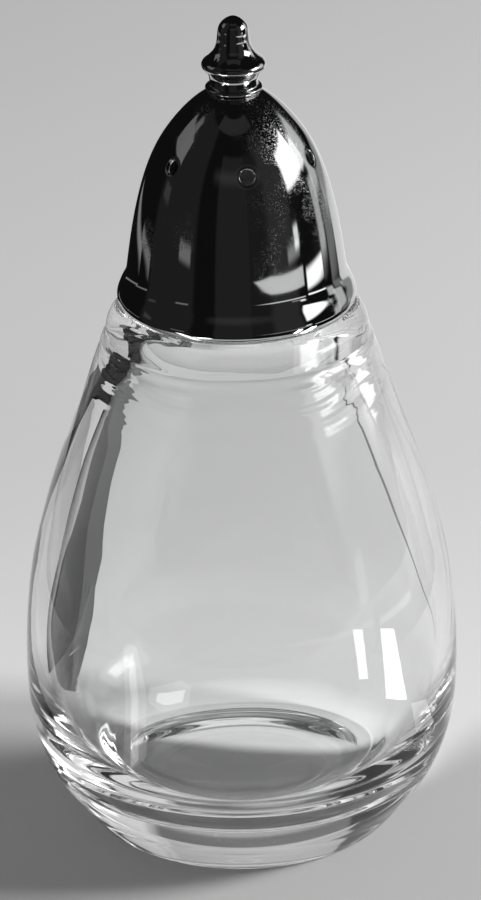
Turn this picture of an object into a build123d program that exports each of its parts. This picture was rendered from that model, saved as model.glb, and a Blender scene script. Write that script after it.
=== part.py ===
from build123d import *
import math
import os

# A clear glass condiment shaker: a pear-shaped glass jar with a screw neck, and a
# polished dome lid with six pour holes and a turned finial. Millimetres, +Z up,
# origin at the centre of the foot, on the surface that the jar stands on.
# The front of the object looks along -Y.

# ---------------------------------------------------------------- driving sizes
total_height = 110.0          # table to the tip of the finial

# glass jar
foot_ring_in, foot_ring_out = 17.6, 20.2      # flat ring that touches the table
punt_rise = 1.5                               # hollow under the base, at the axis
belly_radius = 28.4
shoulder_top = 71.2                           # ledge that the lid's rim hangs over
neck_radius = 10.5                            # plain outside of the screw neck
thread_radius = 11.6                          # outside of the glass thread
mouth_radius = 8.3                            # clear bore of the neck
lip_top = 81.2
floor_z = 6.2                                 # inside floor, at the axis

# screw thread, right-handed, one start
pitch = 3.175
male_turns = 1.5
male_z0 = 74.25                               # centre of the glass ridge at angle 0
male_crest_half, male_base_half = 0.45, 0.95
female_root_radius = 11.85
female_crest_radius = 10.9
female_turns = 1.25
female_drop = 1.19                            # the collar's ridge runs this far under the glass one
female_crest_half = 0.30

# dome shell
wall = 0.6
rim_bottom = 71.95
rim_lip_radius = 12.1
bead_radius = 15.25
crown_z = 100.4
crown_hole_radius = 1.4

# pour holes
hole_radius = 1.0
hole_count = 6
hole_ring_z = 92.45
hole_ring_radius = 10.13
hole_normal_elevation = 28.5                  # how far the holes point above the horizontal
hole_first_azimuth = 8.9                      # degrees from the front (-Y) towards +X

# thread collar and liner
collar_top = 83.2
collar_bottom = rim_bottom + wall               # it stands on the curled rim
collar_outer = 13.15
collar_flange_radius = 9.2
liner_bottom, liner_top = lip_top, 82.0
liner_in, liner_out = 8.9, 11.7

# finial and its fixing
finial_bore_radius = 1.27
screw_radius = 1.25
screw_end = 105.0
washer_radius, washer_hole, washer_thickness = 2.9, 1.35, 0.5
head_radius, head_height = 2.2, 1.4
slot_width, slot_depth = 0.6, 0.7

os.makedirs("parts", exist_ok=True)


def P(r, z):
    """A point of a profile, in the XZ plane."""
    return (r, 0.0, z)


def lathe(*edges):
    """Turns a closed profile, given edge by edge in the XZ plane, about the Z axis."""
    wire = Wire(list(edges))
    return revolve(make_face(wire.edges()), Axis.Z, 360)


def line(a, b):
    return Edge.make_line(P(*a), P(*b))


def arc(a, m, b):
    return Edge.make_three_point_arc(P(*a), P(*m), P(*b))


def arcs(points):
    """Arcs through a run of points, each through three of them, so there is an odd number."""
    return [arc(*points[i:i + 3]) for i in range(0, len(points) - 2, 2)]


# ---------------------------------------------------------------- helical ridges
def ridge(z0, turns, base_r, crest_r, base_half, crest_half, sink_r, fade_deg, phase=0.0, step=11.25):
    """A ridge along a right-handed helix, of trapezium section, that sinks into its
    wall at both ends. base_r is buried in the wall; sink_r is the crest's radius at
    the two ends, also buried."""
    total = 360.0 * turns
    count = int(round(total / step))
    sections = []
    for i in range(count + 1):
        a = total * i / count
        t = min(1.0, a / fade_deg, (total - a) / fade_deg)
        top = sink_r + (crest_r - sink_r) * t
        z = z0 + pitch * a / 360.0
        section = [
            (base_r, z - base_half),
            (top, z - crest_half),
            (top, z + crest_half),
            (base_r, z + base_half),
        ]
        c, s = math.cos(math.radians(a + phase)), math.sin(math.radians(a + phase))
        sections.append(
            Wire.make_polygon([(r * c, r * s, h) for r, h in section], close=True)
        )
    return Solid.make_loft(sections, ruled=True)


flank = (male_base_half - male_crest_half) / (thread_radius - neck_radius)

# ---------------------------------------------------------------- glass jar
# outside, from the foot up to the shoulder
outer = [
    line((foot_ring_in, 0), (foot_ring_out, 0)),
    arc((foot_ring_out, 0), (20.62, 0.14), (20.95, 0.55)),
    *arcs([
        (20.95, 0.55), (22.2, 2.2), (23.5, 4.05), (24.75, 5.7), (25.85, 7.5),
        (26.8, 9.8), (27.5, 12.1), (28.02, 14.6), (28.32, 17.6), (belly_radius, 21.2),
        (28.3, 25.4), (27.9, 30.4), (27.1, 36.0), (25.75, 41.6), (24.15, 47.2),
        (22.25, 52.8), (20.3, 58.4), (18.55, 63.6), (17.55, 66.5),
    ]),
    # a small moulded step, then the rounded shoulder ring
    arc((17.55, 66.5), (17.08, 67.45), (16.82, 68.6)),
    arc((16.82, 68.6), (16.2, 70.3), (14.6, shoulder_top)),
    line((14.6, shoulder_top), (11.6, shoulder_top)),
    arc((11.6, shoulder_top), (10.82, 71.52), (neck_radius, 72.3)),
    line((neck_radius, 72.3), (neck_radius, 80.5)),
    arc((neck_radius, 80.5), (10.295, 80.995), (9.8, lip_top)),
    line((9.8, lip_top), (8.9, lip_top)),
    arc((8.9, lip_top), (8.476, 81.024), (mouth_radius, 80.6)),
]
inner = [
    line((mouth_radius, 80.6), (mouth_radius, 73.5)),
    *arcs([
        (mouth_radius, 73.5), (8.7, 71.1), (9.9, 69.3), (11.6, 67.1), (13.4, 64.2), (15.3, 60.2),
        (17.6, 54.6), (19.8, 49.0), (22.0, 42.8), (23.8, 36.4), (25.0, 30.0),
        (25.5, 24.5), (25.35, 19.5), (24.5, 15.2), (22.6, 11.4), (19.6, 8.6),
        (15.6, 7.0), (11.0, 6.4), (5.5, floor_z),
    ]),
    line((5.5, floor_z), (0.0, floor_z)),
    line((0.0, floor_z), (0.0, punt_rise)),
    line((0.0, punt_rise), (8.0, punt_rise)),
    arc((8.0, punt_rise), (13.5, 0.95), (foot_ring_in, 0.0)),
]
jar = lathe(*outer, *inner)
glass_ridge = ridge(
    male_z0, male_turns, neck_radius - 0.35, thread_radius,
    male_base_half + 0.35 * flank, male_crest_half, neck_radius - 0.25, 33.75,
)
jar = jar + glass_ridge
export_step(jar, "parts/glass_jar.step")

# ---------------------------------------------------------------- dome shell
dome_points = [
    (3.3, crown_z), (4.6, 99.46), (6.2, 98.0), (7.3, 96.78), (8.3, 95.5),
    (9.9, 92.98), (11.0, 90.5), (11.95, 87.64), (12.7, 84.45), (13.3, 81.24), (13.7, 78.65),
    (13.86, 77.5), (13.98, 76.6),
]
flare_points = [
    (13.98, 76.6), (14.2, 75.82), (14.65, 74.87), (15.03, 74.05), (bead_radius, 73.25),
    (15.06, 72.4), (14.35, rim_bottom),
]


def inward(points, first, last):
    """The same run of points, moved in by the wall's thickness. The two ends are given."""
    moved = [first]
    for before, here, after in zip(points, points[1:], points[2:]):
        dr, dz = after[0] - before[0], after[1] - before[1]
        size = math.hypot(dr, dz)
        moved.append((here[0] + wall * dz / size, here[1] - wall * dr / size))
    return moved + [last]


waist_in = (13.98 - wall, 76.55)
dome_in = inward(dome_points, (3.1, crown_z - wall), waist_in)
flare_in = inward(flare_points, waist_in, (14.35, rim_bottom + wall))
shell = lathe(
    line((crown_hole_radius, crown_z), (3.3, crown_z)),
    *arcs(dome_points),
    *arcs(flare_points),
    line((14.35, rim_bottom), (rim_lip_radius + 0.2, rim_bottom)),
    arc((rim_lip_radius + 0.2, rim_bottom), (rim_lip_radius, rim_bottom + wall / 2),
        (rim_lip_radius + 0.2, rim_bottom + wall)),
    line((rim_lip_radius + 0.2, rim_bottom + wall), (14.35, rim_bottom + wall)),
    *arcs(list(reversed(flare_in))),
    *arcs(list(reversed(dome_in))),
    line((3.1, crown_z - wall), (crown_hole_radius, crown_z - wall)),
    line((crown_hole_radius, crown_z - wall), (crown_hole_radius, crown_z)),
)
# the pour holes are pierced square to the wall
for k in range(hole_count):
    a = math.radians(hole_first_azimuth + 360.0 * k / hole_count)
    tilt = math.radians(hole_normal_elevation)
    out = Vector(math.cos(tilt) * math.sin(a), -math.cos(tilt) * math.cos(a), math.sin(tilt))
    point = Vector(hole_ring_radius * math.sin(a), -hole_ring_radius * math.cos(a), hole_ring_z)
    shell = shell - Solid.make_cylinder(hole_radius, 4.0, Plane(origin=point - out * 2.0, z_dir=out))
export_step(shell, "parts/dome_shell.step")

# ---------------------------------------------------------------- thread collar
collar = lathe(
    line((female_root_radius + 0.4, collar_bottom), (collar_outer, collar_bottom)),
    line((collar_outer, collar_bottom), (collar_outer, 77.0)),
    line((collar_outer, 77.0), (12.28, collar_top)),
    line((12.28, collar_top), (collar_flange_radius, collar_top)),
    line((collar_flange_radius, collar_top), (collar_flange_radius, liner_top)),
    line((collar_flange_radius, liner_top), (female_root_radius, liner_top)),
    line((female_root_radius, liner_top), (female_root_radius, collar_bottom + 0.4)),
    line((female_root_radius, collar_bottom + 0.4), (female_root_radius + 0.4, collar_bottom)),
)
collar_ridge = ridge(
    male_z0 - female_drop + 0.25 * pitch, female_turns, female_root_radius + 0.3, female_crest_radius,
    female_crest_half + (female_root_radius + 0.3 - female_crest_radius) * flank,
    female_crest_half, female_root_radius + 0.12, 40, phase=90.0,
)
collar = collar + collar_ridge
export_step(collar, "parts/thread_collar.step")

# ---------------------------------------------------------------- liner ring
liner = lathe(
    line((liner_in, liner_bottom), (liner_out, liner_bottom)),
    line((liner_out, liner_bottom), (liner_out, liner_top)),
    line((liner_out, liner_top), (liner_in, liner_top)),
    line((liner_in, liner_top), (liner_in, liner_bottom)),
)
export_step(liner, "parts/liner_ring.step")

# ---------------------------------------------------------------- finial
# the tip is a cap of a sphere centred on the axis
cap_r, cap_h = 1.1, 0.46
ball = (cap_r ** 2 + cap_h ** 2) / (2 * cap_h)
half = math.asin(cap_r / ball) / 2
cap_mid = (ball * math.sin(half), total_height - ball + ball * math.cos(half))
finial = lathe(
    line((finial_bore_radius, crown_z), (3.3, crown_z)),
    arc((3.3, crown_z), (3.62, 100.7), (3.3, 101.0)),
    line((3.3, 101.0), (3.04, 101.15)),
    line((3.04, 101.15), (3.04, 101.7)),
    arc((3.04, 101.7), (3.16, 102.35), (3.55, 102.95)),
    arc((3.55, 102.95), (4.03, 103.75), (3.55, 104.42)),
    arc((3.55, 104.42), (2.62, 105.35), (2.12, 106.5)),
    arc((2.12, 106.5), (2.0, 107.45), (1.94, 108.15)),
    arc((1.94, 108.15), (1.68, 108.95), (cap_r, total_height - cap_h)),
    arc((cap_r, total_height - cap_h), cap_mid, (0.0, total_height)),
    line((0.0, total_height), (0.0, 105.9)),
    line((0.0, 105.9), (finial_bore_radius, 105.3)),
    line((finial_bore_radius, 105.3), (finial_bore_radius, crown_z)),
)
export_step(finial, "parts/finial.step")

# ---------------------------------------------------------------- washer and screw
washer_top = crown_z - wall
washer = lathe(
    line((washer_hole, washer_top - washer_thickness), (washer_radius, washer_top - washer_thickness)),
    line((washer_radius, washer_top - washer_thickness), (washer_radius, washer_top)),
    line((washer_radius, washer_top), (washer_hole, washer_top)),
    line((washer_hole, washer_top), (washer_hole, washer_top - washer_thickness)),
)
export_step(washer, "parts/finial_washer.step")

head_top = washer_top - washer_thickness
head_bottom = head_top - head_height
screw = lathe(
    line((0, head_bottom), (1.3, head_bottom)),
    arc((1.3, head_bottom), (1.95, head_bottom + 0.35), (head_radius, head_bottom + 0.9)),
    line((head_radius, head_bottom + 0.9), (head_radius, head_top)),
    line((head_radius, head_top), (screw_radius, head_top)),
    line((screw_radius, head_top), (screw_radius, screw_end - 0.4)),
    line((screw_radius, screw_end - 0.4), (screw_radius - 0.4, screw_end)),
    line((screw_radius - 0.4, screw_end), (0, screw_end)),
    line((0, screw_end), (0, head_bottom)),
)
screw = screw - Pos(0, 0, head_bottom + slot_depth / 2) * Box(6.0, slot_width, slot_depth)
export_step(screw, "parts/finial_screw.step")

for label, part in (("glass_jar", jar), ("dome_shell", shell), ("thread_collar", collar),
                    ("liner_ring", liner), ("finial", finial), ("finial_washer", washer),
                    ("finial_screw", screw)):
    print(label, "solids", len(part.solids()), "volume", round(part.volume, 1), "valid", part.is_valid)
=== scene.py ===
import math

import bpy
import numpy as np
from mathutils import Matrix, Vector


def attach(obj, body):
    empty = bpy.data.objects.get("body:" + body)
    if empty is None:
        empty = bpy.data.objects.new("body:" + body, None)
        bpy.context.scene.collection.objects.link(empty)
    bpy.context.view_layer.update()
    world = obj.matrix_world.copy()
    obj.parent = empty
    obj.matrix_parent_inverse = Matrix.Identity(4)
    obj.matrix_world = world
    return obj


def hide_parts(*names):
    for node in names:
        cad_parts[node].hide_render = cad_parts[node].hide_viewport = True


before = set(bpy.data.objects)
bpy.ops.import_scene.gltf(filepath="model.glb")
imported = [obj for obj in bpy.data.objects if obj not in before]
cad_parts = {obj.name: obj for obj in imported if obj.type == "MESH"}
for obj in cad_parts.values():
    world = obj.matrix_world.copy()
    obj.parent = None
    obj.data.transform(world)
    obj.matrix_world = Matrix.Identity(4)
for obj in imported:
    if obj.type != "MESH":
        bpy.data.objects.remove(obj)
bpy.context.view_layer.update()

MM = 0.001
PITCH = 3.175


# ------------------------------------------------------------------ curves
def spline(points, spacing, start=None, end=None):
    """A smooth curve through the points (r, z), sampled evenly, as an array.
    start and end are the directions at its two ends."""
    p = np.array(points, float)
    t = np.concatenate([[0.0], np.cumsum(np.linalg.norm(np.diff(p, axis=0), axis=1))])
    n = len(p)
    h = np.diff(t)
    a = np.zeros((n, n))
    b = np.zeros((n, 2))
    for i in range(1, n - 1):
        a[i, i - 1], a[i, i], a[i, i + 1] = h[i - 1], 2 * (h[i - 1] + h[i]), h[i]
        b[i] = 6 * ((p[i + 1] - p[i]) / h[i] - (p[i] - p[i - 1]) / h[i - 1])
    if start is None:
        a[0, 0] = 1
    else:
        d = np.array(start, float) / np.linalg.norm(start)
        a[0, 0], a[0, 1] = 2 * h[0], h[0]
        b[0] = 6 * ((p[1] - p[0]) / h[0] - d)
    if end is None:
        a[-1, -1] = 1
    else:
        d = np.array(end, float) / np.linalg.norm(end)
        a[-1, -1], a[-1, -2] = 2 * h[-1], h[-1]
        b[-1] = 6 * (d - (p[-1] - p[-2]) / h[-1])
    m = np.linalg.solve(a, b)
    count = max(2, int(round(t[-1] / spacing)))
    q = np.linspace(0, t[-1], count * 4 + 1)
    k = np.clip(np.searchsorted(t, q, side="right") - 1, 0, n - 2)
    u, v = (t[k + 1] - q)[:, None], (q - t[k])[:, None]
    hk = h[k][:, None]
    c = (
        m[k] * u**3 / (6 * hk) + m[k + 1] * v**3 / (6 * hk)
        + (p[k] / hk - m[k] * hk / 6) * u + (p[k + 1] / hk - m[k + 1] * hk / 6) * v
    )
    return c[::4]


def join(*runs):
    """Runs of points laid end to end, with the shared end points kept once."""
    out = [np.array(runs[0], float)]
    for r in runs[1:]:
        out.append(np.array(r, float)[1:])
    return np.vstack(out)


def straight(a, b, spacing):
    count = max(1, int(round(math.dist(a, b) / spacing)))
    return np.linspace(a, b, count + 1)


def rounded(centre, radius, first, last, count):
    """An arc in the profile's plane, angles in degrees from +r towards +z."""
    q = np.radians(np.linspace(first, last, count + 1))
    return np.stack([centre[0] + radius * np.cos(q), centre[1] + radius * np.sin(q)], 1)


# ------------------------------------------------------------------ meshes
def make(name, verts, faces, sharp=None):
    me = bpy.data.meshes.new(name)
    me.from_pydata((np.asarray(verts) * MM).tolist(), [], [list(map(int, f)) for f in faces])
    me.validate()
    me.polygons.foreach_set("use_smooth", [True] * len(me.polygons))
    if sharp is not None:
        me.set_sharp_from_angle(angle=math.radians(sharp))
    me.update()
    ob = bpy.data.objects.new(name, me)
    bpy.context.scene.collection.objects.link(ob)
    return ob


def turned(profile, segments, radial=None, closed=False, phase=0.0):
    """Verts and faces of a turned shape. The profile runs so that its outside is on
    the left. Its ends may lie on the axis. radial(angle, index, r, z) can return
    changed radii for a whole ring."""
    prof = np.array(profile, float)
    ang = phase + np.linspace(0, 2 * math.pi, segments, endpoint=False)
    verts, rings = [], []
    for i, (r, z) in enumerate(prof):
        if r < 1e-6:
            rings.append([len(verts)])
            verts.append((0.0, 0.0, z))
            continue
        rr = np.full(segments, r) if radial is None else radial(ang, i, r, z)
        rings.append(list(range(len(verts), len(verts) + segments)))
        verts.extend(zip(rr * np.cos(ang), rr * np.sin(ang), np.full(segments, z)))
    faces = []
    pairs = list(zip(rings, rings[1:]))
    if closed:
        pairs.append((rings[-1], rings[0]))
    for a, b in pairs:
        for i in range(segments):
            j = (i + 1) % segments
            if len(a) == 1:
                faces.append((a[0], b[j], b[i]))
            elif len(b) == 1:
                faces.append((a[i], a[j], b[0]))
            else:
                faces.append((a[i], a[j], b[j], b[i]))
    return np.array(verts), faces


def ripple(seed, count, low, high):
    """A fixed sum of slow waves over angle and height, between about -1 and 1."""
    rng = np.random.default_rng(seed)
    k = rng.integers(low, high, count)
    w = rng.uniform(0.05, 0.35, count)
    ph = rng.uniform(0, 2 * math.pi, count)

    def at(ang, z):
        total = np.zeros_like(ang)
        for a, b, c in zip(k, w, ph):
            total += np.sin(a * ang + b * z + c)
        return total / math.sqrt(count) / 1.4
    return at


# ------------------------------------------------------------------ camera
ELEVATION = math.radians(25.22)
DISTANCE = 0.550
cam_data = bpy.data.cameras.new("photo_camera")
cam_data.lens = 170.0
cam_data.sensor_width = 36.0
cam_data.clip_start = 0.01
cam_data.clip_end = 20.0
cam = bpy.data.objects.new("photo_camera", cam_data)
bpy.context.scene.collection.objects.link(cam)
target = Vector((0.0002, 0.0, 0.0507))
back = Vector((0.0, -math.cos(ELEVATION), math.sin(ELEVATION)))
cam.location = target + back * DISTANCE
look = (-back).to_track_quat("-Z", "Y").to_matrix().to_4x4()
cam.matrix_world = Matrix.Translation(cam.location) @ look @ Matrix.Rotation(math.radians(-0.8), 4, "Z")
bpy.context.scene.camera = cam


# ------------------------------------------------------------------ node helpers
def tree_of(thing):
    thing.use_nodes = True
    nt = thing.node_tree
    nt.nodes.clear()
    return nt


class Nodes:
    """Short names for building a node tree."""

    def __init__(self, nt):
        self.nt = nt

    def new(self, kind, **settings):
        n = self.nt.nodes.new(kind)
        for k, v in settings.items():
            setattr(n, k, v)
        return n

    def link(self, a, b):
        self.nt.links.new(a, b)

    def put(self, socket, value):
        if hasattr(value, "is_output") or isinstance(value, bpy.types.NodeSocket):
            self.link(value, socket)
        else:
            socket.default_value = value

    def math(self, op, a, b=0.0, c=None, clamp=False):
        n = self.new("ShaderNodeMath", operation=op, use_clamp=clamp)
        self.put(n.inputs[0], a)
        self.put(n.inputs[1], b)
        if c is not None:
            self.put(n.inputs[2], c)
        return n.outputs[0]

    def step(self, value, low, high, start=0.0, end=1.0):
        n = self.new("ShaderNodeMapRange", interpolation_type="SMOOTHSTEP")
        self.put(n.inputs["Value"], value)
        n.inputs["From Min"].default_value = low
        n.inputs["From Max"].default_value = high
        n.inputs["To Min"].default_value = start
        n.inputs["To Max"].default_value = end
        return n.outputs["Result"]

    def noise(self, vector, scale, detail=2.0, rough=0.5, distortion=0.0):
        n = self.new("ShaderNodeTexNoise")
        self.put(n.inputs["Vector"], vector)
        n.inputs["Scale"].default_value = scale
        n.inputs["Detail"].default_value = detail
        n.inputs["Roughness"].default_value = rough
        n.inputs["Distortion"].default_value = distortion
        return n.outputs["Fac"]


def principled(name, color, metallic=0.0, roughness=0.4, **extra):
    mat = bpy.data.materials.new(name)
    g = Nodes(tree_of(mat))
    out = g.new("ShaderNodeOutputMaterial")
    bsdf = g.new("ShaderNodeBsdfPrincipled")
    bsdf.inputs["Base Color"].default_value = (*color, 1.0)
    bsdf.inputs["Metallic"].default_value = metallic
    bsdf.inputs["Roughness"].default_value = roughness
    for k, v in extra.items():
        bsdf.inputs[k.replace("_", " ")].default_value = v
    g.link(bsdf.outputs[0], out.inputs["Surface"])
    mat.diffuse_color = (*color, 1.0)
    return mat, g, bsdf


# ------------------------------------------------------------------ materials
def chrome_material(name, dusty):
    """Bright plate: a mirror with faint haze, and dust and pin-pricks, most of them
    on the side of the dome that is turned to the right of the front."""
    mat, g, bsdf = principled(name, (0.64, 0.645, 0.65), 1.0, 0.04)
    pos = g.new("ShaderNodeTexCoord").outputs["Object"]
    at = g.new("ShaderNodeSeparateXYZ")
    g.link(pos, at.inputs[0])
    turn = g.math("ARCTAN2", at.outputs["X"], g.math("MULTIPLY", at.outputs["Y"], -1.0))
    worn = g.math("MULTIPLY", g.step(turn, 0.0, 0.5, 0.0, 1.0), g.step(turn, 1.15, 1.6, 1.0, 0.0))
    worn = g.math("MULTIPLY", worn, g.step(at.outputs["Z"], 0.080, 0.086))
    haze = g.noise(pos, 90.0, 4.0, 0.6)
    patch = g.math("ADD", g.noise(pos, 160.0, 3.0, 0.6), g.math("MULTIPLY", worn, 0.20))
    patch = g.step(patch, 0.53, 0.74)
    total = None
    for size, low, high in ((3300.0, 0.10, 0.30), (6200.0, 0.12, 0.34)):
        speck = g.new("ShaderNodeTexVoronoi", feature="F1")
        g.put(speck.inputs["Vector"], pos)
        speck.inputs["Scale"].default_value = size
        dots = g.step(speck.outputs["Distance"], low, high, 1.0, 0.0)
        total = dots if total is None else g.math("MAXIMUM", total, dots)
    dots = g.math("MULTIPLY", g.math("MULTIPLY", total, patch), dusty)
    rough = g.step(haze, 0.35, 0.75, 0.018, 0.05)
    rough = g.math("ADD", rough, g.math("MULTIPLY", worn, 0.035 * dusty))
    rough = g.math("ADD", rough, g.math("MULTIPLY", dots, 0.31))
    g.link(rough, bsdf.inputs["Roughness"])
    bump = g.new("ShaderNodeBump")
    bump.inputs["Strength"].default_value = 0.3
    bump.inputs["Distance"].default_value = 0.00002
    g.link(dots, bump.inputs["Height"])
    g.link(bump.outputs["Normal"], bsdf.inputs["Normal"])
    return mat


glass_mat, g, bsdf = principled("clear_glass", (0.985, 0.99, 0.988), 0.0, 0.0,
                                Transmission_Weight=1.0, IOR=1.5)
lid_chrome = chrome_material("bright_plate", 1.0)
finial_chrome = chrome_material("finial_plate", 0.5)
inner_metal, g, bsdf = principled("collar_metal", (0.62, 0.62, 0.63), 1.0, 0.32)
pos = g.new("ShaderNodeTexCoord").outputs["Object"]
g.link(g.step(g.noise(pos, 300.0, 3.0, 0.6), 0.3, 0.7, 0.26, 0.42), bsdf.inputs["Roughness"])
liner_mat, g, bsdf = principled("liner_white", (0.83, 0.82, 0.78), 0.0, 0.55)
pos = g.new("ShaderNodeTexCoord").outputs["Object"]
g.link(g.step(g.noise(pos, 500.0, 3.0, 0.6), 0.3, 0.7, 0.48, 0.62), bsdf.inputs["Roughness"])
steel_mat, g, bsdf = principled("fastener_steel", (0.52, 0.52, 0.53), 1.0, 0.3)
pos = g.new("ShaderNodeTexCoord").outputs["Object"]
g.link(g.step(g.noise(pos, 700.0, 3.0, 0.6), 0.3, 0.7, 0.22, 0.4), bsdf.inputs["Roughness"])


# ------------------------------------------------------------------ glass jar
heel = rounded((20.2, 0.6), 0.6, 270, 322, 5)
wall_out = spline(
    [tuple(heel[-1]), (22.2, 2.15), (23.5, 4.05), (24.75, 5.7), (25.85, 7.5),
     (26.8, 9.8), (27.5, 12.1), (28.02, 14.6), (28.32, 17.6), (28.4, 21.2),
     (28.3, 25.4), (27.9, 30.4), (27.1, 36.0), (25.75, 41.6), (24.15, 47.2),
     (22.25, 52.8), (20.3, 58.4), (18.55, 63.6), (17.62, 66.2)], 0.5)
shoulder = spline(
    [(17.62, 66.2), (17.4, 66.95), (17.05, 67.5), (16.86, 68.0), (16.8, 68.6), (16.62, 69.5),
     (16.2, 70.3), (15.5, 70.95), (14.6, 71.2)], 0.12, end=(-1.0, 0.0))
land = straight((14.6, 71.2), (11.5, 71.2), 0.3)
root = spline([(11.5, 71.2), (10.82, 71.52), (10.5, 72.3)], 0.15, (-1, 0), (0, 1))
neck = straight((10.5, 72.3), (10.5, 80.5), 0.08)
lip_out = rounded((9.8, 80.5), 0.7, 0, 90, 8)
lip = straight((9.8, 81.2), (8.9, 81.2), 0.2)
lip_in = rounded((8.9, 80.6), 0.6, 90, 180, 8)
mouth = straight((8.3, 80.6), (8.3, 74.0), 0.4)
cavity = spline(
    [(8.3, 74.0), (8.4, 72.4), (8.9, 70.8), (9.9, 69.2), (11.6, 66.9), (13.4, 64.0), (15.3, 60.2),
     (17.6, 54.6), (19.8, 49.0), (22.0, 42.8), (23.8, 36.4), (25.0, 30.0),
     (25.5, 24.5), (25.35, 19.5), (24.5, 15.2), (22.6, 11.4), (19.6, 8.6),
     (15.6, 7.0), (11.0, 6.4), (5.5, 6.22), (0.0, 6.2)], 0.1, (0, -1), (-1, 0))
# the rings are close together where the pressing left fine ripples, under the neck
keep, last_at = [], -99.0
for i, (r, z) in enumerate(cavity):
    gap = 1 if 57.0 < z < 71.5 else 5
    if i == 0 or i == len(cavity) - 1 or i - last_at >= gap:
        keep.append(i)
        last_at = i
cavity = cavity[keep]
punt = join(straight((0.0, 1.5), (8.0, 1.5), 0.5), spline([(8.0, 1.5), (13.5, 0.95), (17.6, 0.0)], 0.4, (1, 0), (0.9, -0.25)))
foot = straight((17.6, 0.0), (20.2, 0.0), 0.4)
jar_profile = join(punt, foot, heel, wall_out, shoulder, land, root, neck, lip_out, lip, lip_in, mouth, cavity)

neck_first = len(join(punt, foot, heel, wall_out, shoulder, land, root)) - 1
neck_last = neck_first + len(neck) - 1
cavity_first = len(jar_profile) - len(cavity)
wall_first = len(join(punt, foot, heel)) - 1
wall_last = wall_first + len(wall_out) - 1

MALE_Z0, MALE_TURNS = 74.25, 1.5
FLANK = 0.5 / 1.1


def thread_out(ang, z, root_r, crest_r):
    """The radius of the neck's ridge at these angles and this height."""
    deg = np.degrees(ang) % 360.0
    best = np.full_like(ang, root_r)
    for turn in range(3):
        a = deg + 360.0 * turn
        if turn * 360.0 > MALE_TURNS * 360.0:
            continue
        run = np.clip(np.minimum(a, MALE_TURNS * 360.0 - a) / 34.0, 0.0, 1.0)
        run = run * run * (3 - 2 * run)
        top = root_r + (crest_r - root_r) * run
        off = np.abs(z - (MALE_Z0 + PITCH * a / 360.0))
        r = crest_r - np.maximum(off - 0.45, 0.0) / FLANK
        r = np.minimum(r, top)
        best = np.maximum(best, r)
    return best


wave_out, wave_in = ripple(3, 9, 1, 5), ripple(11, 14, 2, 9)


def jar_radius(ang, i, r, z):
    if neck_first < i < neck_last:
        return thread_out(ang, z, r, 11.6)
    if wall_first <= i <= wall_last:
        fade = min(1.0, (i - wall_first) / 20.0, (wall_last - i) / 12.0)
        return r + 0.02 * fade * wave_out(ang, z)
    if i >= cavity_first:
        fade = min(1.0, max(74.0 - z, 0.0) / 5.0, max(r - 3.0, 0.0) / 8.0)
        ridges = min(1.0, max(71.0 - z, 0.0) / 2.0, max(z - 57.5, 0.0) / 5.0)
        near = wave_in(ang, 0.35 * z)
        fine = np.sin(2 * math.pi * z / 0.78 + 3.5 * near) * (0.35 + np.abs(wave_out(ang * 1.0, z * 0.6)))
        slow = np.sin(2 * math.pi * z / 3.4 + 2.0 * near)
        return r + 0.05 * fade * wave_in(ang, z) + ridges * (0.0075 * fine + 0.05 * slow)
    return np.full_like(ang, r)


v, f = turned(jar_profile, 288, jar_radius)
jar = make("jar_glass", v, f)
jar.data.materials.append(glass_mat)
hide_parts("glass_jar")
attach(jar, "jar")


# ------------------------------------------------------------------ dome shell
WALL = 0.6
HOLES, HOLE_R, HOLE_AZ = 6, 1.0, 8.9
COLUMNS = 240
crown = straight((1.4, 100.4), (2.9, 100.4), 0.25)
dome = spline(
    [(2.9, 100.4), (3.6, 100.12), (4.6, 99.42), (6.2, 97.98), (7.75, 96.2), (9.2, 94.15), (10.45, 91.8),
     (11.6, 88.72), (12.55, 85.1), (13.2, 81.8), (13.65, 78.9), (13.86, 77.4)],
    0.265, (1.0, -0.05), (0.13, -1.0))
flare = spline(
    [(13.86, 77.4), (13.98, 76.6), (14.2, 75.85), (14.62, 74.95), (15.0, 74.08), (15.22, 73.25),
     (15.13, 72.62), (14.85, 72.15), (14.35, 71.95)], 0.12, (0.13, -1.0), (-1.0, 0.0))
tuck = straight((14.35, 71.95), (12.4, 71.95), 0.3)
outside = join(crown, dome, flare, tuck)
n_out = len(outside)
tang = np.gradient(outside, axis=0)
tang /= np.linalg.norm(tang, axis=1)[:, None]
normal = np.stack([-tang[:, 1], tang[:, 0]], 1)       # points outwards: (+r on the dome's side)
if normal[len(crown) + 20][0] < 0:
    normal = -normal
inside = outside - normal * WALL
inside[: len(crown), 1] = 100.4 - WALL
inside[-len(tuck):, 1] = 71.95 + WALL

# the row nearest to the ring of holes becomes its centre line
row = int(np.argmin(np.abs(outside[:, 1] - 92.45)))
arc_len = np.concatenate([[0.0], np.cumsum(np.linalg.norm(np.diff(outside, axis=0), axis=1))])
HALF_C, HALF_R = 8, 8
theta0 = math.radians(-90.0 + HOLE_AZ)


def surface(theta, s, depth):
    """A point on the shell: angle, distance along the profile, depth under the outside."""
    r = np.interp(s, arc_len, outside[:, 0])
    z = np.interp(s, arc_len, outside[:, 1])
    nr = np.interp(s, arc_len, normal[:, 0])
    nz = np.interp(s, arc_len, normal[:, 1])
    size = math.hypot(nr, nz)
    r, z = r - depth * nr / size, z - depth * nz / size
    return (r * math.cos(theta), r * math.sin(theta), z)


step = 2 * math.pi / COLUMNS
verts, faces = [], []
grid = {}
holes_at = [int(round(k * COLUMNS / HOLES)) for k in range(HOLES)]


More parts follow.
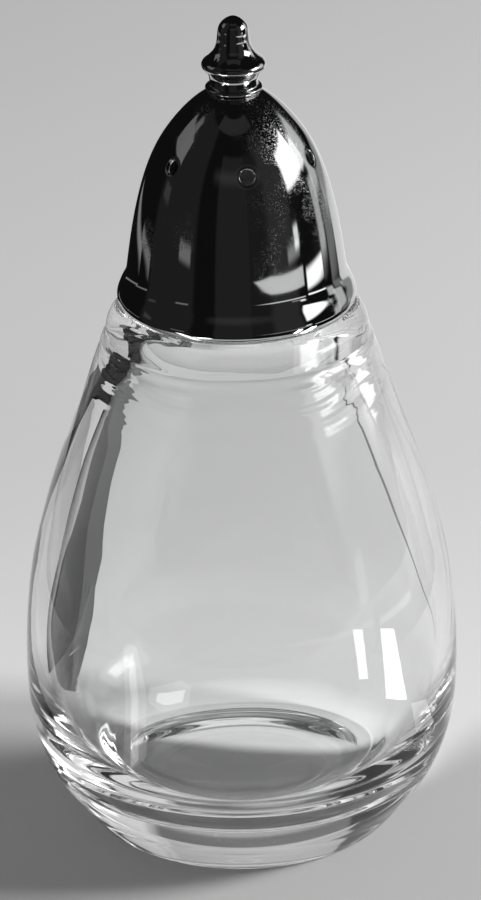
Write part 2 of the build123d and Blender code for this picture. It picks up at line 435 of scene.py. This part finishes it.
def in_block(i, j, pad=0):
    if not (row - HALF_R + 1 - pad <= j <= row + HALF_R - 1 + pad):
        return False
    for c in holes_at:
        d = (i - c + COLUMNS // 2) % COLUMNS - COLUMNS // 2
        if abs(d) <= HALF_C - 1 + pad:
            return True
    return False


for side, prof in ((0, outside), (1, inside)):
    for j in range(n_out):
        for i in range(COLUMNS):
            if in_block(i, j):
                continue
            th = theta0 + i * step
            grid[side, i, j] = len(verts)
            verts.append((prof[j][0] * math.cos(th), prof[j][0] * math.sin(th), prof[j][1]))
for side in (0, 1):
    for j in range(n_out - 1):
        for i in range(COLUMNS):
            i2 = (i + 1) % COLUMNS
            keys = [(side, i, j), (side, i, j + 1), (side, i2, j + 1), (side, i2, j)]
            mid = all(k in grid for k in keys)
            blocked = False
            if row - HALF_R <= j < row + HALF_R:
                for c in holes_at:
                    d = (i - c + COLUMNS // 2) % COLUMNS - COLUMNS // 2
                    if -HALF_C <= d < HALF_C:
                        blocked = True
            if blocked or not mid:
                continue
            q = [grid[k] for k in keys]
            faces.append(q if side == 0 else q[::-1])
for j in (0, n_out - 1):
    for i in range(COLUMNS):
        i2 = (i + 1) % COLUMNS
        q = [grid[0, i, j], grid[0, i2, j], grid[1, i2, j], grid[1, i, j]]
        faces.append(q if j == 0 else q[::-1])

RINGS = 10
for c in holes_at:
    loop = []
    for d in range(-HALF_C, HALF_C):
        loop.append((d, -HALF_R))
    for e in range(-HALF_R, HALF_R):
        loop.append((HALF_C, e))
    for d in range(HALF_C, -HALF_C, -1):
        loop.append((d, HALF_R))
    for e in range(HALF_R, -HALF_R, -1):
        loop.append((-HALF_C, e))
    n = len(loop)
    th_c = theta0 + c * step
    local = []
    for d, e in loop:
        j = row + e
        local.append((d * step * outside[j][0], arc_len[j] - arc_len[row]))
    local = np.array(local)
    unit = local / np.linalg.norm(local, axis=1)[:, None]

    def ring_points(t, radius, depth_of):
        """Points between the block's border (t = 0) and the circle (t = 1)."""
        pts = local * (1 - t) + unit * radius * t
        made = []
        for a, b in pts:
            s = arc_len[row] + b
            r = np.interp(s, arc_len, outside[:, 0])
            made.append(surface(th_c + a / r, s, depth_of(math.hypot(a, b))))
        return made

    depth_here = 0.08 if c == 0 else 0.025

    def dimple(d):
        u = max(0.0, 1.0 - (d - HOLE_R) / 0.5)
        return depth_here * u * u * (3 - 2 * min(u, 1.0))

    loops = {}
    for side in (0, 1):
        last = [grid[side, (c + d) % COLUMNS, row + e] for d, e in loop]
        for k in range(1, RINGS + 1):
            t = 1 - (1 - k / RINGS) ** 1.15
            pts = ring_points(t, HOLE_R + 0.06, lambda d: dimple(d) + side * WALL)
            here = list(range(len(verts), len(verts) + n))
            verts.extend(pts)
            for m in range(n):
                m2 = (m + 1) % n
                q = [last[m], last[m2], here[m2], here[m]]
                faces.append(q[::-1] if side == 0 else q)
            last = here
        loops[side] = last
    # the wall of the hole, with a small break at each edge
    steps = [(HOLE_R + 0.018, 0.02), (HOLE_R, 0.07), (HOLE_R, 0.3), (HOLE_R, WALL - 0.07), (HOLE_R + 0.018, WALL - 0.02)]
    last = loops[0]
    for rad, depth in steps:
        pts = []
        for a, b in unit * rad:
            s = arc_len[row] + b
            r = np.interp(s, arc_len, outside[:, 0])
            pts.append(surface(th_c + a / r, s, dimple(HOLE_R) + depth))
        here = list(range(len(verts), len(verts) + n))
        verts.extend(pts)
        for m in range(n):
            m2 = (m + 1) % n
            faces.append([last[m2], last[m], here[m], here[m2]])
        last = here
    for m in range(n):
        m2 = (m + 1) % n
        faces.append([last[m2], last[m], loops[1][m], loops[1][m2]])

lid = make("lid_dome", verts, faces, 50)
lid.data.materials.append(lid_chrome)
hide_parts("dome_shell")
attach(lid, "lid")

# ------------------------------------------------------------------ finial
base = join(straight((1.27, 100.4), (3.3, 100.4), 0.3), rounded((3.3, 100.7), 0.3, 270, 450, 12))
stem = spline([(3.3, 101.0), (3.12, 101.06), (3.05, 101.22)], 0.06, (-1, 0), (0, 1))
body = spline(
    [(3.05, 101.22), (3.04, 101.7), (3.14, 102.3), (3.52, 102.92), (3.9, 103.33), (4.03, 103.75),
     (3.88, 104.12), (3.45, 104.52), (2.95, 104.98), (2.52, 105.5), (2.26, 106.05), (2.11, 106.6),
     (2.02, 107.3), (1.95, 108.0), (1.8, 108.65), (1.5, 109.15), (1.08, 109.55), (0.55, 109.87),
     (0.0, 110.0)], 0.1, (0, 1), (-1.0, 0.0))
bore = join(straight((0.0, 105.9), (1.27, 105.3), 0.3), straight((1.27, 105.3), (1.27, 100.4), 0.5))
v, f = turned(join(base, stem, body), 160)
v2, f2 = turned(bore, 160)
count = len(v)
f2 = [tuple(i + count for i in q) for q in f2]
ring_a = list(range(0, 160))
ring_b = list(range(count + len(v2) - 160, count + len(v2)))
bridge = [(ring_b[i], ring_b[(i + 1) % 160], ring_a[(i + 1) % 160], ring_a[i]) for i in range(160)]
finial = make("finial_knob", np.vstack([v, v2]), f + f2, 60)
finial.data.materials.append(finial_chrome)
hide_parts("finial")
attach(finial, "lid")

# ------------------------------------------------------------------ hidden pieces
for node, mat in (("thread_collar", inner_metal), ("liner_ring", liner_mat),
                  ("finial_washer", steel_mat), ("finial_screw", steel_mat)):
    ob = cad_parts[node]
    for s in ob.material_slots:
        s.material = mat

# ------------------------------------------------------------------ floor
# a plain table that meets a paler backdrop just behind the jar. The table's own colour is a shade darker behind the
# line. The backdrop is paler than the table in front because it glows, which is painted light. A painted glow under and
# just behind the jar stands in for the light that comes through the glass, and a faint painted glow over the whole
# floor lifts its shade
floor_mat, g, bsdf = principled("floor_with_painted_light", (0.7, 0.7, 0.7), 0.0, 0.8)
bsdf.inputs["Specular IOR Level"].default_value = 0.0
pos = g.new("ShaderNodeTexCoord").outputs["Object"]
sep = g.new("ShaderNodeSeparateXYZ")
g.link(pos, sep.inputs[0])
away = g.math("ABSOLUTE", sep.outputs["X"])
beside = g.step(away, 0.018, 0.034)
edge = g.math("ADD", g.math("MULTIPLY", sep.outputs["X"], -0.30), 0.0055)
edge = g.math("ADD", g.math("MULTIPLY", edge, g.math("SUBTRACT", 1.0, beside)), g.math("MULTIPLY", beside, 0.0145))
line = g.math("SUBTRACT", sep.outputs["Y"], edge)
behind = g.step(g.math("DIVIDE", line, g.math("ADD", g.math("MULTIPLY", beside, 0.006), 0.0025)), -1.0, 1.0)
reach = g.new("ShaderNodeVectorMath", operation="LENGTH")
g.link(pos, reach.inputs[0])
# painted light: extra glow under and just behind the jar, where the glass casts its shadow
under = g.math("MULTIPLY", g.step(reach.outputs["Value"], 0.019, 0.030, 0.28, 0.0), behind)
tone = g.math("ADD", g.math("MULTIPLY", behind, -0.03), 0.33)
comb = g.new("ShaderNodeCombineColor")
for k in range(3):
    g.link(tone, comb.inputs[k])
g.link(comb.outputs[0], bsdf.inputs["Base Color"])
bsdf.inputs["Emission Color"].default_value = (1.0, 1.0, 1.0, 1.0)
# painted light: the backdrop glows, less further back, and the whole floor glows faintly to lift its shade
painted_glow = g.math("ADD", g.step(sep.outputs["Y"], -0.02, 0.12, 0.33, 0.18), g.step(sep.outputs["Y"], 0.12, 0.36, 0.0, -0.05))
painted_glow = g.math("ADD", g.math("ADD", g.math("MULTIPLY", behind, painted_glow), under), 0.067)
g.link(painted_glow, bsdf.inputs["Emission Strength"])
UNDER = -0.00005


def table(name, corners, faces, glossy):
    me = bpy.data.meshes.new(name)
    me.from_pydata([(x, y, UNDER) for x, y in corners], [], faces)
    me.materials.append(floor_mat)
    ob = bpy.data.objects.new(name, me)
    bpy.context.scene.collection.objects.link(ob)
    ob.visible_glossy = glossy


inner = [(-0.12, -0.06), (0.12, -0.06), (0.12, 0.16), (-0.12, 0.16)]
outer = [(-0.40, -0.28), (0.46, -0.28), (0.46, 0.75), (-0.40, 0.75)]
table("floor_near", inner, [(0, 1, 2, 3)], True)
table("floor_far", inner + outer, [(4, 5, 1, 0), (5, 6, 2, 1), (6, 7, 3, 2), (7, 4, 0, 3)], False)


# ------------------------------------------------------------------ studio cards: painted light and painted shade seen in the glass and the plate
def card(name, points, level, glossy=True, transmission=True):
    """A plain glowing card, in mm, that only shows in the glass and the plate. It lights nothing and casts no shadow,
    so it is a painted reflection: painted shade at a low level and painted light at a high one.
    """
    mat = bpy.data.materials.new(name)
    g = Nodes(tree_of(mat))
    out = g.new("ShaderNodeOutputMaterial")
    em = g.new("ShaderNodeEmission")
    em.inputs["Color"].default_value = (1.0, 1.0, 1.0, 1.0)
    em.inputs["Strength"].default_value = level
    g.link(em.outputs[0], out.inputs["Surface"])
    sheet = bpy.data.meshes.new(name)
    sheet.from_pydata([tuple(c * MM for c in p) for p in points], [], [tuple(range(len(points)))])
    sheet.materials.append(mat)
    ob = bpy.data.objects.new(name, sheet)
    bpy.context.scene.collection.objects.link(ob)
    ob.visible_camera = False
    ob.visible_diffuse = False
    ob.visible_shadow = False
    ob.visible_glossy = glossy
    ob.visible_transmission = transmission
    return ob


def upright(name, y, outline, level, glossy=False):
    return card(name, [(x, y, z) for x, z in outline], level, glossy)


# painted shade in the glass: dark upright sheets, seen only through it, make a dark edge on the left of the backdrop
# with a paler border of painted light, and a thin dark one on the right
dark_side = [(-31.0, 0.4), (-29.5, 4), (-28.0, 8), (-27.0, 13), (-25.6, 17.5), (-25.2, 22), (-24.5, 27.5), (-24.2, 33),
             (-23.3, 37.5), (-22.5, 42), (-22.5, 46), (-24.3, 50), (-26.0, 53.5), (-27.2, 58), (-27.2, 62), (-26.0, 64)]
pale_side = [(-22.0, 61), (-20.6, 57), (-20.8, 53), (-20.2, 49), (-19.5, 45.5), (-19.6, 41.5), (-20.0, 37), (-20.6, 32.5),
             (-20.8, 27.5), (-22.4, 22), (-22.7, 17.5), (-23.6, 13.5), (-25.0, 10), (-27.0, 5.5), (-29.0, 0.4)]
upright("flag_left", 20.0, dark_side + [(-26.0, 80), (-60.0, 80), (-60.0, 64), (-44.0, 64), (-36.0, 61), (-30.0, 57),
                                        (-28.0, 50), (-28.0, 45), (-29.0, 38), (-31.0, 33), (-36.0, 28), (-37.0, 24),
                                        (-37.0, 2), (-34.0, 0.4)], 0.004)
upright("flag_left_edge", 20.0, dark_side[:-1] + pale_side, 0.08)
upright("flag_left_far", 20.0, [(-320.0, 0.4), (-57.0, 0.4), (-56.5, 20), (-54.5, 32), (-50.0, 42), (-47.0, 50), (-46.0, 60),
                                (-60.0, 66), (-60.0, 90), (-320.0, 90)], 0.01)
thin = [(19.9, 57), (20.6, 53), (22.2, 47), (23.3, 42), (26.7, 34), (31.0, 26), (33.0, 21), (35.5, 17), (38.0, 12)]
upright("flag_right", 20.0, [(x - 0.4, z) for x, z in thin] + [(x + 0.4, z) for x, z in reversed(thin)], 0.10)
# painted highlights: glowing cards lying on the table, seen only in reflections, are pools of painted light which the
# glass mirrors
for name, level, points in (
        ("pool_right_far", 9.0, [(245, -155), (215, -110), (93, -53), (92, -63)]),
        ("pool_right_near", 9.0, [(178, -56), (152, -26), (69, -13), (75, -31)]),
        ("pool_right_edge", 2.2, [(66, -10), (62, 2), (48, 4), (51, -8)]),
        ("pool_left_wide", 1.6, [(-170, -112), (-150, -116), (-76, -78), (-39, -46), (-35, -30), (-73, -54), (-150, -88)]),
        ("pool_left_far", 4.5, [(-138, -101), (-130, -90), (-100, -72), (-74, -60), (-37, -35), (-39, -41), (-75, -68)]),
        ("pool_left_glow", 1.8, [(-80, -86), (-70, -74), (-55, -76), (-44, -98), (-52, -120), (-66, -122)]),
        ("pool_left_near", 7.0, [(-71, -88), (-66, -80), (-58, -84), (-50, -98), (-55, -112), (-62, -104)])):
    lift = 0.3 if name in ("pool_left_far", "pool_left_near") else 0.2
    card(name, [(x, y, lift) for x, y in points], level, transmission=False)

# ------------------------------------------------------------------ light
world = bpy.data.worlds.new("room")
bpy.context.scene.world = world
g = Nodes(tree_of(world))
direction = g.new("ShaderNodeTexCoord").outputs["Generated"]
sep = g.new("ShaderNodeSeparateXYZ")
g.link(direction, sep.inputs[0])
# azimuth: 0 towards the front, +90 to the right; elevation above the horizon; degrees
az = g.math("MULTIPLY", g.math("ARCTAN2", sep.outputs["X"], g.math("MULTIPLY", sep.outputs["Y"], -1.0)), 180 / math.pi)
el = g.math("MULTIPLY", g.math("ARCSINE", sep.outputs["Z"]), 180 / math.pi)
az_back = g.math("MULTIPLY", g.math("ARCTAN2", g.math("MULTIPLY", sep.outputs["X"], -1.0), sep.outputs["Y"]), 180 / math.pi)


def patch(a0, a1, e0, e1, level, soft=2.0, behind=False):
    """A soft-edged rectangle of light in the room. behind counts azimuth from the back."""
    a = az_back if behind else az
    m = g.math("MULTIPLY", g.step(a, a0 - soft, a0 + soft), g.step(a, a1 - soft, a1 + soft, 1.0, 0.0))
    m = g.math("MULTIPLY", m, g.step(el, e0 - soft, e0 + soft))
    m = g.math("MULTIPLY", m, g.step(el, e1 - soft, e1 + soft, 1.0, 0.0))
    return g.math("MULTIPLY", m, level)


def total_of(start, patches):
    value = start
    for p in patches:
        value = g.math("ADD", value, p)
    return value


def grey(value):
    node = g.new("ShaderNodeBackground")
    node.inputs["Strength"].default_value = 1.0
    if isinstance(value, float):
        node.inputs["Color"].default_value = (value, value, value, 1.0)
        return node.outputs[0]
    comb = g.new("ShaderNodeCombineColor")
    for k in range(3):
        g.link(value, comb.inputs[k])
    g.link(comb.outputs[0], node.inputs["Color"])
    return node.outputs[0]


def blend_of(factor, a, b):
    node = g.new("ShaderNodeMixShader")
    g.link(factor, node.inputs[0])
    g.link(a, node.inputs[1])
    g.link(b, node.inputs[2])
    return node.outputs[0]


slant = g.math("ADD", el, g.math("MULTIPLY", az, 0.055))


def strip(a0, a1, s0, s1, level, soft=0.5):
    """A thin bar of light along the table's far side, which slopes a little."""
    m = g.math("MULTIPLY", g.step(az, a0 - 1.0, a0 + 1.0), g.step(az, a1 - 1.0, a1 + 1.0, 1.0, 0.0))
    m = g.math("MULTIPLY", m, g.step(slant, s0 - soft, s0 + soft))
    m = g.math("MULTIPLY", m, g.step(slant, s1 - soft, s1 + soft, 1.0, 0.0))
    return g.math("MULTIPLY", m, level)


# a leaf-shaped patch of light, pointed at its left end
leaf = g.math("MINIMUM", g.math("MULTIPLY", g.math("SUBTRACT", az, 18.0), 0.048), 0.85)
leaf = g.math("SUBTRACT", leaf, g.math("ABSOLUTE", g.math("ADD", slant, 5.15)))
leaf = g.math("MULTIPLY", g.step(leaf, -0.12, 0.12, 0.0, 0.74), g.step(az, 73.0, 75.0, 1.0, 0.0))

# what the polished plate and the outside of the glass mirror
mirrored = total_of(0.006, (
    patch(-102, -45, -30, 60, 0.011, 3.0),        # the room in front
    patch(-22, 14, -30, 46, 0.013, 2.0),
    patch(14, 36, -16, 46, 0.008, 3.0),
    patch(36, 66, -16, 46, 0.026, 4.0),
    patch(-30, 36, 27, 34, 0.024, 5.0),
    patch(30, 62, 45, 56, 0.014, 2.0),
    patch(-52, 55, 59.5, 72.5, 0.022, 1.0),       # the ceiling
    patch(69.5, 103, 11.5, 34.5, 1.7, 1.5),       # window
    patch(103, 113, 10, 25, 1.3, 1.5),
    patch(79, 100, 17, 30, 7.0, 3.0),
    patch(112, 131, 7, 25, 0.70, 3.0),
    patch(113, 127, -4, 7, 0.60, 2.5),
    patch(104, 114, -12, 4, 0.58, 2.0),
    patch(117, 133, -16, -6, 0.20, 2.0),
    patch(129, 151, -11, -2, 0.30, 2.0),
    patch(135, 175, -26, -11, 0.78, 2.0),
    patch(152, 175, -11, 4, 0.55, 3.0),
    patch(-8, 8, -26, 4, 0.60, 3.0, behind=True),
    leaf,
    strip(78, 103, -6.9, -5.1, 1.6),
    patch(67, 73, -4.5, 0, 1.1, 1.0),
    patch(57, 72, -6, -3, 0.28, 1.0),
    patch(-104, -93, 37, 47, 0.13, 1.5),
    patch(-118, -87, 20.5, 37, 0.16, 1.0),          # a dark picture on the left
    patch(-98, -88, 2, 8, 0.035, 1.0),
    patch(-64, -50, -5.5, -1.5, 0.17, 1.0),
    patch(-152, -122, -14.8, -12.8, 0.25, 0.7),
    patch(-124, -104, -12.9, -10.8, 0.20, 0.7),
    patch(-70, 70, -49, -38, 0.60, 3.0),          # the table's near edge
))
# what shows through the glass beyond the backdrop
through = total_of(0.02, (
    patch(-62, 34, -40, 9, 0.58, 3.0, behind=True),
    patch(34, 75, -40, 6, 0.58, 3.0, behind=True),
    patch(-112, -62, -40, 10, 0.46, 3.0, behind=True),
    patch(75, 112, -40, 10, 0.10, 3.0, behind=True),
    patch(-50, -33, 0, 14, 0.9, 2.0, behind=True),
    patch(-45, -22, 8, 36, 0.70, 3.0, behind=True),
    patch(-22, 26, 9, 18.5, 0.14, 1.0, behind=True),
    patch(-22, 30, 19, 36, 0.48, 1.5, behind=True),
    patch(-30, 30, 36, 53, 0.20, 3.0, behind=True),
    patch(-75, 75, 56, 90, 0.88, 4.0, behind=True),
    patch(68, 112, 11, 37, 2.0, 3.0),
    patch(79, 101, 17, 30, 7.0, 3.0),
    patch(113, 127, 0, 28, 0.8, 2.0),
))
path = g.new("ShaderNodeLightPath")
sky = grey(0.25)
sky = blend_of(path.outputs["Is Glossy Ray"], sky, grey(mirrored))
sky = blend_of(path.outputs["Is Transmission Ray"], sky, grey(through))
sky = blend_of(path.outputs["Is Camera Ray"], sky, grey(0.6))
out = g.new("ShaderNodeOutputWorld")
g.link(sky, out.inputs["Surface"])


def area(name, azimuth, elevation, distance, width, height, watts, centre=(0, 0, 0.06)):
    a, e = math.radians(azimuth), math.radians(elevation)
    way = Vector((math.sin(a) * math.cos(e), -math.cos(a) * math.cos(e), math.sin(e)))
    data = bpy.data.lights.new(name, "AREA")
    data.shape = "RECTANGLE"
    data.size, data.size_y = width, height
    data.energy = watts
    ob = bpy.data.objects.new(name, data)
    bpy.context.scene.collection.objects.link(ob)
    ob.location = Vector(centre) + way * distance
    ob.rotation_euler = (way).to_track_quat("Z", "Y").to_euler()
    ob.visible_camera = False
    ob.visible_glossy = False
    ob.visible_transmission = False
    return ob


area("window_light", 89, 25, 0.9, 0.26, 0.26, 17.0)

bpy.context.scene.view_settings.view_transform = "Standard"
# thick glass turns the light many times before it lets it out
cycles = bpy.context.scene.cycles
cycles.max_bounces = 32
cycles.glossy_bounces = 32
cycles.transmission_bounces = 32
